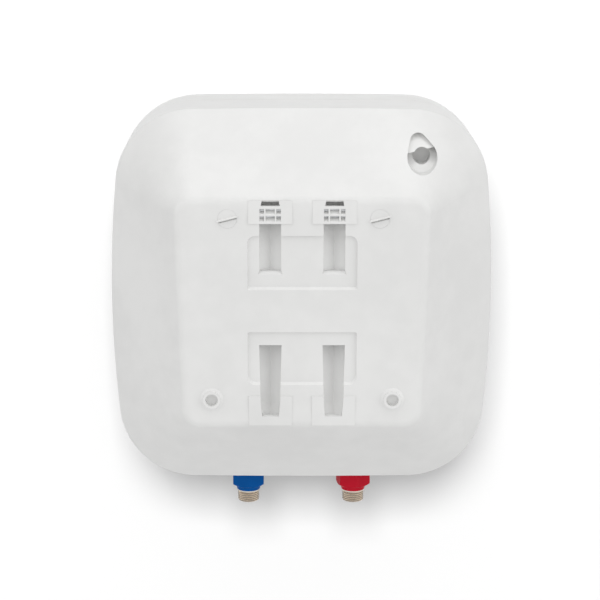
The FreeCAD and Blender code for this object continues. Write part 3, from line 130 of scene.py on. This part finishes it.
def startMaterial(name):
    material = bpy.data.materials.new(name)
    material.use_nodes = True
    material.node_tree.nodes.clear()
    shade = Shade(material.node_tree)
    place = shade.node("ShaderNodeTexCoord", out=3)
    return material, shade, place


def noise(place, scale, detail=2.0, roughness=0.5):
    return place.node("ShaderNodeTexNoise", None,
                      {"Vector": place, "Scale": scale, "Detail": detail, "Roughness": roughness})


def stretched(place, scale):
    return place.node("ShaderNodeMapping", None, {"Vector": place, "Scale": scale})


def finishMaterial(material, shade, sockets):
    surface = shade.node("ShaderNodeBsdfPrincipled", None, sockets)
    shade.node("ShaderNodeOutputMaterial", None, {"Surface": surface})
    return material


def tint(colour, amount):
    return [min(1.0, part * amount) for part in colour[:3]] + [1.0]


# Materials, one function for each kind of finish

def mouldedPlastic(name, colour, roughness=0.36, grain=0.10, edge=0.0005, mottle=0.03, specular=0.5):
    material, shade, place = startMaterial(name)
    cloud = noise(place, 9.0, 4.0)
    fleck = noise(place, 60.0, 3.0)
    base = (cloud * 0.7 + fleck * 0.3).smooth(0.35, 0.65).mix(
        tint(colour, 1.0 - mottle), tint(colour, 1.0 + mottle))
    pores = noise(place, 1800.0, 3.0, 0.6)
    swirl = noise(place, 110.0, 2.0)
    rounded = shade.node("ShaderNodeBevel", {"samples": 6}, {"Radius": edge})
    normal = shade.node("ShaderNodeBump", None, {
        "Strength": grain, "Distance": 0.0002, "Height": pores * 0.8 + swirl * 0.6, "Normal": rounded})
    return finishMaterial(material, shade, {
        "Base Color": base,
        "Roughness": fleck * 0.08 + pores * 0.05 + (roughness - 0.065),
        "Specular IOR Level": specular,
        "Normal": normal,
    })


def turnedMetal(name, colour, roughness=0.24, lines=(900.0, 900.0, 9000.0), stain=0.2):
    material, shade, place = startMaterial(name)
    grooves = noise(stretched(place, lines), 1.0, 2.0)
    cloud = noise(place, 160.0, 4.0)
    base = cloud.smooth(0.38, 0.68).mix(tint(colour, 1.0 - stain), tint(colour, 1.0 + stain * 0.4))
    rounded = shade.node("ShaderNodeBevel", {"samples": 4}, {"Radius": 0.00015})
    normal = shade.node("ShaderNodeBump", None,
                        {"Strength": 0.25, "Distance": 0.00005, "Height": grooves, "Normal": rounded})
    return finishMaterial(material, shade, {
        "Base Color": base,
        "Metallic": 1.0,
        "Roughness": grooves * 0.16 + cloud * 0.12 + (roughness - 0.12),
        "Normal": normal,
    })


def threadMetal(name, colour, ring):
    # plated thread: painted shade down in its roots and a painted highlight on its crests, with a pale ring up
    # against the collar
    material, shade, place = startMaterial(name)
    across, along, height = (shade.node("ShaderNodeSeparateXYZ", None, {"Vector": place}, out=part)
                             for part in range(3))
    across = across.maths("ABSOLUTE") - stubPlace["x"]
    along = along - stubPlace["y"]
    radius = (across * across + along * along).maths("SQRT")
    cloud = noise(place, 160.0, 3.0)
    # the thread's colour is darkened towards its roots as painted shade and brightened towards its crests as a
    # painted highlight
    metal = radius.smooth(stubPlace["darkRadius"], stubPlace["brightRadius"]).mix(
        tint(colour, stubPlace["rootTint"]), tint(colour, stubPlace["crestTint"]))
    isRing = (height.smooth(stubPlace["ringLow"] - stubPlace["ringBlend"], stubPlace["ringLow"])
              * radius.smooth(stubPlace["metalRadius"], stubPlace["ringRadius"]))
    return finishMaterial(material, shade, {
        "Base Color": isRing.mix(metal, tint(ring, 1.0)),
        "Metallic": 1.0 - isRing,
        "Roughness": cloud * 0.14 + 0.22,
    })


def enamel(name, colour):
    material, shade, place = startMaterial(name)
    cloud = noise(place, 24.0, 4.0)
    peel = noise(place, 420.0, 2.0)
    base = cloud.smooth(0.3, 0.7).mix(tint(colour, 0.75), tint(colour, 1.3))
    normal = shade.node("ShaderNodeBump", None, {"Strength": 0.2, "Distance": 0.0002, "Height": peel})
    return finishMaterial(material, shade, {
        "Base Color": base, "Roughness": peel * 0.1 + 0.2, "Coat Weight": 0.4, "Normal": normal})


def foamFinish(name, colour):
    material, shade, place = startMaterial(name)
    cells = shade.node("ShaderNodeTexVoronoi", None, {"Vector": place, "Scale": 700.0})
    cloud = noise(place, 14.0, 4.0)
    base = cloud.smooth(0.3, 0.7).mix(tint(colour, 0.85), tint(colour, 1.05))
    normal = shade.node("ShaderNodeBump", None, {"Strength": 0.6, "Distance": 0.0006, "Height": cells})
    return finishMaterial(material, shade, {"Base Color": base, "Roughness": cloud * 0.1 + 0.85, "Normal": normal})


def lensFinish(name, colour):
    material, shade, place = startMaterial(name)
    cloud = noise(place, 300.0, 2.0)
    base = cloud.mix(tint(colour, 0.85), tint(colour, 1.1))
    return finishMaterial(material, shade, {
        "Base Color": base, "Roughness": cloud * 0.05 + 0.08, "Transmission Weight": 0.35, "IOR": 1.5,
        "Coat Weight": 0.6})


stubPlace = {
    "x": 0.0515,
    "y": -0.104,
    "ringLow": -0.2030,
    "ringBlend": 0.0001,
    # radii and tints of the thread's painted shade in its roots and painted highlight on its crests
    "darkRadius": 0.0092,
    "brightRadius": 0.0102,
    "metalRadius": 0.01068,
    "ringRadius": 0.01074,
    "rootTint": 0.48,
    "crestTint": 1.62,
}

palette = {
    "white": (0.76, 0.76, 0.752),
    "control": (0.74, 0.75, 0.75),
    "blue": (0.001, 0.078, 0.30),
    "red": (0.50, 0.010, 0.026),
    "nickel": (0.56, 0.50, 0.43),
    "ring": (0.74, 0.69, 0.61),
    "zinc": (0.62, 0.63, 0.64),
    "enamel": (0.05, 0.08, 0.15),
    "copper": (0.70, 0.38, 0.24),
    "magnesium": (0.55, 0.55, 0.53),
    "foam": (0.86, 0.76, 0.50),
    "black": (0.022, 0.022, 0.024),
    "grey": (0.30, 0.31, 0.32),
    "button": (0.55, 0.02, 0.015),
    "lens": (0.80, 0.10, 0.02),
    "brass": (0.72, 0.54, 0.24),
}

collarFinish = {"roughness": 0.42, "mottle": 0.10, "edge": 0.0007, "specular": 0.05}

finishes = {
    "white_shell": mouldedPlastic("whiteShell", palette["white"], edge=0.0002),
    "white_control": mouldedPlastic("whiteControl", palette["control"], roughness=0.28, grain=0.05),
    "blue_plastic": mouldedPlastic("bluePlastic", palette["blue"], **collarFinish),
    "red_plastic": mouldedPlastic("redPlastic", palette["red"], **collarFinish),
    "plated_steel": threadMetal("nickelPlate", palette["nickel"], palette["ring"]),
    "zinc_steel": turnedMetal("zincPlate", palette["zinc"], roughness=0.34, lines=(500.0, 500.0, 500.0)),
    "enamelled_steel": enamel("darkEnamel", palette["enamel"]),
    "copper_tube": turnedMetal("dullCopper", palette["copper"], roughness=0.38, lines=(700.0, 700.0, 700.0)),
    "magnesium": turnedMetal("castMagnesium", palette["magnesium"], roughness=0.55, lines=(300.0, 300.0, 300.0)),
    "foam": foamFinish("rigidFoam", palette["foam"]),
    "black_plastic": mouldedPlastic("darkMoulding", palette["black"], roughness=0.42, mottle=0.15),
    "grey_plastic": mouldedPlastic("greyMoulding", palette["grey"], roughness=0.45),
    "black_rubber": mouldedPlastic("sealRubber", palette["black"], roughness=0.70, grain=0.3),
    "red_button": mouldedPlastic("redButton", palette["button"], roughness=0.30, mottle=0.06),
    "lamp_lens": lensFinish("lampLens", palette["lens"]),
    "brass": turnedMetal("turnedBrass", palette["brass"], roughness=0.28),
}
for nodeName, piece in nodes.items():
    piece.data.materials.clear()
    piece.data.materials.append(finishes[slotOf[nodeName]])
print("materials made,", len(bpy.data.materials))


# Helpers for modelling

mergeDistance = 1e-6
copyMergeDistance = 2e-6


def pickOnly(piece):
    if bpy.context.object and bpy.context.object.mode != "OBJECT":
        bpy.ops.object.mode_set(mode="OBJECT")
    bpy.ops.object.select_all(action="DESELECT")
    bpy.context.view_layer.objects.active = piece
    piece.select_set(True)


def applied(piece, kind, **settings):
    modifier = piece.modifiers.new(kind.title(), kind)
    for name, value in settings.items():
        setattr(modifier, name, value)
    pickOnly(piece)
    bpy.ops.object.modifier_apply(modifier=modifier.name)


def settle(piece):
    pickOnly(piece)
    bpy.ops.object.transform_apply(location=True, rotation=True, scale=True)
    bpy.ops.object.mode_set(mode="EDIT")
    bpy.ops.mesh.select_all(action="SELECT")
    bpy.ops.mesh.remove_doubles(threshold=mergeDistance)
    bpy.ops.mesh.normals_make_consistent(inside=False)
    bpy.ops.object.mode_set(mode="OBJECT")


def smoothed(piece, degrees):
    pickOnly(piece)
    bpy.ops.object.shade_smooth_by_angle(angle=math.radians(degrees))


def selectFaces(piece, wanted):
    # leaves edit mode on with just the faces that wanted(face) accepts
    pickOnly(piece)
    bpy.ops.object.mode_set(mode="EDIT")
    bpy.ops.mesh.select_mode(type="FACE")
    bpy.ops.mesh.select_all(action="DESELECT")
    bpy.ops.object.mode_set(mode="OBJECT")
    for face in piece.data.polygons:
        face.select = wanted(face)
    bpy.ops.object.mode_set(mode="EDIT")


def joined(name, pieces):
    bpy.ops.object.select_all(action="DESELECT")
    for piece in pieces:
        piece.select_set(True)
    bpy.context.view_layer.objects.active = pieces[0]
    bpy.ops.object.join()
    result = bpy.context.object
    result.name = name
    return result


def dressed(piece, name, slot, body, *replaced):
    # gives a finished piece its name, finish and body, and hides what it stands for
    piece.name = name
    piece.data.name = name
    piece.data.materials.clear()
    piece.data.materials.append(finishes[slot])
    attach(piece, body)
    if replaced:
        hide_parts(*replaced)
    return piece


def bodyOf(nodeName):
    return nodes[nodeName]["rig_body"]


def cleanCopy(nodeName, name, degrees):
    # the node's own form as one welded mesh with smooth shading
    piece = bpy.data.objects.new(name, nodes[nodeName].data.copy())
    bpy.context.scene.collection.objects.link(piece)
    pickOnly(piece)
    if piece.data.has_custom_normals:
        bpy.ops.mesh.customdata_custom_splitnormals_clear()
    bpy.ops.object.mode_set(mode="EDIT")
    bpy.ops.mesh.select_all(action="SELECT")
    bpy.ops.mesh.remove_doubles(threshold=copyMergeDistance)
    bpy.ops.object.mode_set(mode="OBJECT")
    smoothed(piece, degrees)
    applied(piece, "WEIGHTED_NORMAL", keep_sharp=True)
    return dressed(piece, name, slotOf[nodeName], bodyOf(nodeName), nodeName)


# The casing, plugs and collars keep the form of their nodes

copies = {
    "rear_shell": ("backShell", 22.0),
    "front_shell": ("frontShell", 14.0),
    "foam_plug_right": ("plugRight", 28.0),
    "foam_plug_left": ("plugLeft", 28.0),
    "cold_collar": ("coldCollar", 20.0),
    "hot_collar": ("hotCollar", 20.0),
    "temperature_knob": ("knob", 28.0),
}
for nodeName, (pieceName, degrees) in copies.items():
    cleanCopy(nodeName, pieceName, degrees)
print("casing, plugs, collars and knob dressed")


# Marks on the front: a scale round the knob that grows with the heat, and the knob's pointer

dial = {
    "centre": -0.064,
    "face": -0.298,
    "reach": 0.0308,
    "length": 0.0036,
    "narrow": 0.0010,
    "wide": 0.0032,
    "thick": 0.00012,
    "marks": 10,
    "step": 30.0,
    "standing": 0.45,
}
softEdgeShare = 0.35
markSmoothing = 30.0
pointer = {"place": (0.0, -0.304775, -0.052), "size": (0.0013, 0.00065, 0.0112)}


def slip(place, extent, angle=0.0):
    # a small softened plate, turned about the knob's axis
    bpy.ops.mesh.primitive_cube_add(size=1.0, location=place, rotation=(0.0, angle, 0.0))
    piece = bpy.context.object
    piece.scale = extent
    bpy.ops.object.transform_apply(location=True, rotation=True, scale=True)
    applied(piece, "BEVEL", width=min(extent) * softEdgeShare, segments=2)
    return piece


marks = []
for number in range(dial["marks"]):
    angle = math.radians(dial["step"] * number)
    width = dial["narrow"] + (dial["wide"] - dial["narrow"]) * number / (dial["marks"] - 1)
    place = (math.sin(angle) * dial["reach"], dial["face"] - dial["thick"] * dial["standing"],
             dial["centre"] + math.cos(angle) * dial["reach"])
    marks.append(slip(place, (width, dial["thick"], dial["length"]), angle))
scale = joined("dialMarks", marks)
smoothed(scale, markSmoothing)
dressed(scale, "dialMarks", "grey_plastic", bodyOf("front_shell"))
inlay = slip(pointer["place"], pointer["size"])
smoothed(inlay, markSmoothing)
dressed(inlay, "knobPointer", "black_plastic", bodyOf("temperature_knob"))
print("marks on the front made")


# Threaded pipe stubs

stub = {
    "pitch": 0.001814,
    "crest": 0.0104775,
    "root": 0.00932,
    "shank": 0.01065,
    "bore": 0.0076,
    "ring": 0.0109,
    "threadLow": -0.2134,
    "threadHigh": -0.2015,
    "top": -0.121,
    "chamfer": 0.0017,
    "steps": 72,
    "skin": 0.00002,
    "overrun": 0.0005,
    "through": 0.01,
    "smoothing": 30.0,
}
threadProfile = (0.0, 0.04, 0.50, 1.0, 0.50, 0.04, 0.0)  # shares of the ridge's height over one pitch


def helixBand():
    # one pitch of the thread's profile, run round the pipe by a Screw modifier
    pitch = stub["pitch"]
    bpy.ops.mesh.primitive_plane_add(size=pitch, location=(0.0, 0.0, 0.0), rotation=(math.pi / 2, 0.0, 0.0))
    piece = bpy.context.object
    bpy.ops.object.transform_apply(location=True, rotation=True, scale=True)
    bpy.ops.object.mode_set(mode="EDIT")
    bpy.ops.mesh.select_mode(type="VERT")
    bpy.ops.mesh.select_all(action="DESELECT")
    bpy.ops.object.mode_set(mode="OBJECT")
    for vertex in piece.data.vertices:
        vertex.select = vertex.co.x > 0.0
    bpy.ops.object.mode_set(mode="EDIT")
    bpy.ops.mesh.delete(type="VERT")
    bpy.ops.mesh.select_all(action="SELECT")
    bpy.ops.mesh.subdivide(number_cuts=len(threadProfile) - 2)
    bpy.ops.object.mode_set(mode="OBJECT")
    ordered = sorted(piece.data.vertices, key=lambda vertex: vertex.co.z)
    for vertex, share in zip(ordered, threadProfile):
        vertex.co.x = stub["root"] + (stub["crest"] - stub["root"]) * share
    turns = math.ceil((stub["threadHigh"] - stub["threadLow"]) / pitch) + 2
    for vertex in piece.data.vertices:
        vertex.co.z += stub["threadLow"] - pitch
    applied(piece, "SCREW", axis="Z", angle=math.tau, screw_offset=pitch, iterations=turns,
            steps=stub["steps"], render_steps=stub["steps"], use_merge_vertices=True,
            merge_threshold=mergeDistance)
    return piece


def sliced(piece, height, up):
    # cuts the piece level at a height and closes it there
    pickOnly(piece)
    bpy.ops.object.mode_set(mode="EDIT")
    bpy.ops.mesh.select_all(action="SELECT")
    bpy.ops.mesh.bisect(plane_co=(0.0, 0.0, height), plane_no=(0.0, 0.0, up), use_fill=True, clear_outer=True)
    bpy.ops.object.mode_set(mode="OBJECT")


def cutter(radius, low, high):
    bpy.ops.mesh.primitive_cylinder_add(vertices=stub["steps"], radius=radius, depth=high - low,
                                        location=(0.0, 0.0, (low + high) / 2))
    return bpy.context.object


def boolean(piece, tool, operation):
    applied(piece, "BOOLEAN", operation=operation, object=tool, solver="EXACT")
    bpy.data.objects.remove(tool)


def threadedStub(nodeName, name):
    low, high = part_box(nodeName)
    x = (low[0] + high[0]) / 2
    y = (low[1] + high[1]) / 2
    piece = helixBand()
    sliced(piece, stub["threadLow"], -1.0)
    sliced(piece, stub["threadHigh"], 1.0)
    form = cutter(stub["crest"] + stub["skin"], stub["threadLow"] - stub["overrun"],
                  stub["threadHigh"] + stub["overrun"])
    selectFaces(form, lambda face: face.normal.z < -0.9)
    bpy.ops.mesh.bevel(offset=stub["chamfer"], segments=1)
    boolean(piece, form, "INTERSECT")
    boolean(piece, cutter(stub["bore"], stub["threadLow"] - stub["through"], stub["threadHigh"] + stub["through"]),
            "DIFFERENCE")
    shank = cutter(stub["shank"], stub["threadHigh"], stub["top"])
    boolean(shank, cutter(stub["bore"], stub["threadHigh"] - stub["through"], stub["top"] + stub["through"]),
            "DIFFERENCE")
    ring = cutter(stub["ring"], stubPlace["ringLow"], stub["threadHigh"])
    boolean(ring, cutter(stub["bore"], stub["threadLow"], stub["threadHigh"] + stub["through"]), "DIFFERENCE")
    piece = joined(name, [piece, shank, ring])
    piece.location = (x, y, 0.0)
    settle(piece)
    smoothed(piece, stub["smoothing"])
    dressed(piece, name, slotOf[nodeName], bodyOf(nodeName), nodeName)


threadedStub("cold_inlet_nipple", "coldStub")
threadedStub("hot_outlet_nipple", "hotStub")
print("threaded stubs made")


# Stage, lights and camera

stage = {
    "wall": -0.309,
    "wallSize": 8.0,
    "opening": 0.162,
    "openingBlend": 0.01,
    "fadeFrom": 0.75,
    "fadeTo": 1.6,
    "paper": 0.515,
    "bounce": 0.13,
    "worldLevel": 0.85,
}


def seenDirectly(shade):
    # 1 where the camera, a reflection or a transmitted ray looks, 0 where light bounces
    path = shade.tree.nodes.new("ShaderNodeLightPath")
    camera, glossy, transmitted = (Shade(shade.tree, path.outputs[name]) for name in (
        "Is Camera Ray", "Is Glossy Ray", "Is Transmission Ray"))
    return (camera + glossy + transmitted).maths("MINIMUM", 1.0)


def paperFinish(name):
    # pale paper, seen from the object's side only, that fades out far from it;
    # where the object hides it, light passes through to the object's front
    material, shade, place = startMaterial(name)
    white = (1.0, 1.0, 1.0)
    seen = seenDirectly(shade)
    fibre = noise(place, 260.0, 3.0).mix(tint(white, stage["paper"]), tint(white, stage["paper"] * 1.01))
    paper = shade.node("ShaderNodeBsdfDiffuse", None, {
        "Color": seen.mix(tint(white, stage["bounce"]), fibre)})
    clear = shade.node("ShaderNodeBsdfTransparent")
    behind = shade.node("ShaderNodeNewGeometry", out=6)
    across, up = (shade.node("ShaderNodeSeparateXYZ", None, {"Vector": place}, out=part).maths("ABSOLUTE")
                  for part in range(2))
    reach = across.maths("MAXIMUM", up)
    passing = (1.0 - reach.smooth(stage["opening"] - stage["openingBlend"], stage["opening"])) * (1.0 - seen)
    fading = reach.smooth(stage["fadeFrom"], stage["fadeTo"]) * seen
    hidden = behind.maths("MAXIMUM", passing).maths("MAXIMUM", fading)
    sheet = shade.node("ShaderNodeMixShader", None, {0: hidden, 1: paper, 2: clear})
    shade.node("ShaderNodeOutputMaterial", None, {"Surface": sheet})
    return material


bpy.ops.mesh.primitive_plane_add(size=stage["wallSize"], location=(0.0, stage["wall"], 0.0),
                                 rotation=(-math.pi / 2, 0.0, 0.0))
backdrop = bpy.context.object
backdrop.name = "backdrop"
backdrop.data.materials.append(paperFinish("backdropPaper"))
backdropOnly = bpy.data.collections.new("backdropOnly")
backdropOnly.objects.link(backdrop)

lights = {
    "overhead": {"place": (0.0, -0.10, 2.3), "size": (1.6, 1.2), "power": 11.0},
    "highSoftbox": {"place": (0.0, 0.9, 2.2), "size": (2.6, 1.6), "power": 5.6},
    "rightSoftbox": {"place": (-1.8, 1.0, 0.5), "size": (1.2, 1.8), "power": 6.2},
    "leftSoftbox": {"place": (1.8, 1.0, 0.5), "size": (1.2, 1.8), "power": 3.4},
    "backdropLamp": {"place": (0.137, 3.5, 1.45), "size": (0.88, 0.88), "power": 200.0, "only": backdropOnly},
}
lightTarget = Vector((0.0, -0.1, 0.0))
for name, values in lights.items():
    lamp = bpy.data.lights.new(name, "AREA")
    lamp.shape = "RECTANGLE"
    lamp.size, lamp.size_y = values["size"]
    lamp.energy = values["power"]
    holder = bpy.data.objects.new(name, lamp)
    holder.location = values["place"]
    holder.rotation_euler = (lightTarget - holder.location).to_track_quat("-Z", "Y").to_euler()
    bpy.context.scene.collection.objects.link(holder)
    if "only" in values:
        holder.light_linking.receiver_collection = values["only"]

world = bpy.data.worlds.new("studio")
bpy.context.scene.world = world
world.use_nodes = True
world.node_tree.nodes.clear()
sky = Shade(world.node_tree)
seen = seenDirectly(sky)
glow = sky.node("ShaderNodeBackground", None, {
    "Color": (1.0, 1.0, 1.0, 1.0), "Strength": seen * (1.0 - stage["worldLevel"]) + stage["worldLevel"]})
sky.node("ShaderNodeOutputWorld", None, {"Surface": glow})

view = {
    "distance": 1.696,
    "height": 0.4275,
    "pitch": 0.23875,
    "focal": 1918.64,
    "picture": 600.0,
    "sensor": 36.0,
    "centreX": 302.0,
    "aside": 0.018,
    "rimDistance": 1.770,
}
lens = bpy.data.cameras.new("camera")
lens.sensor_width = view["sensor"]
lens.lens = view["focal"] / view["picture"] * view["sensor"]
aside = view["aside"] * view["focal"] / view["rimDistance"]
lens.shift_x = (view["picture"] / 2 - view["centreX"] + aside) / view["picture"]
camera = bpy.data.objects.new("camera", lens)
camera.location = (view["aside"], view["distance"], view["height"])
camera.rotation_euler = Euler((math.pi / 2 - view["pitch"], 0.0, math.pi))
bpy.context.scene.collection.objects.link(camera)
bpy.context.scene.camera = camera
bpy.context.scene.view_settings.view_transform = "Standard"
print("stage, lights and camera set")
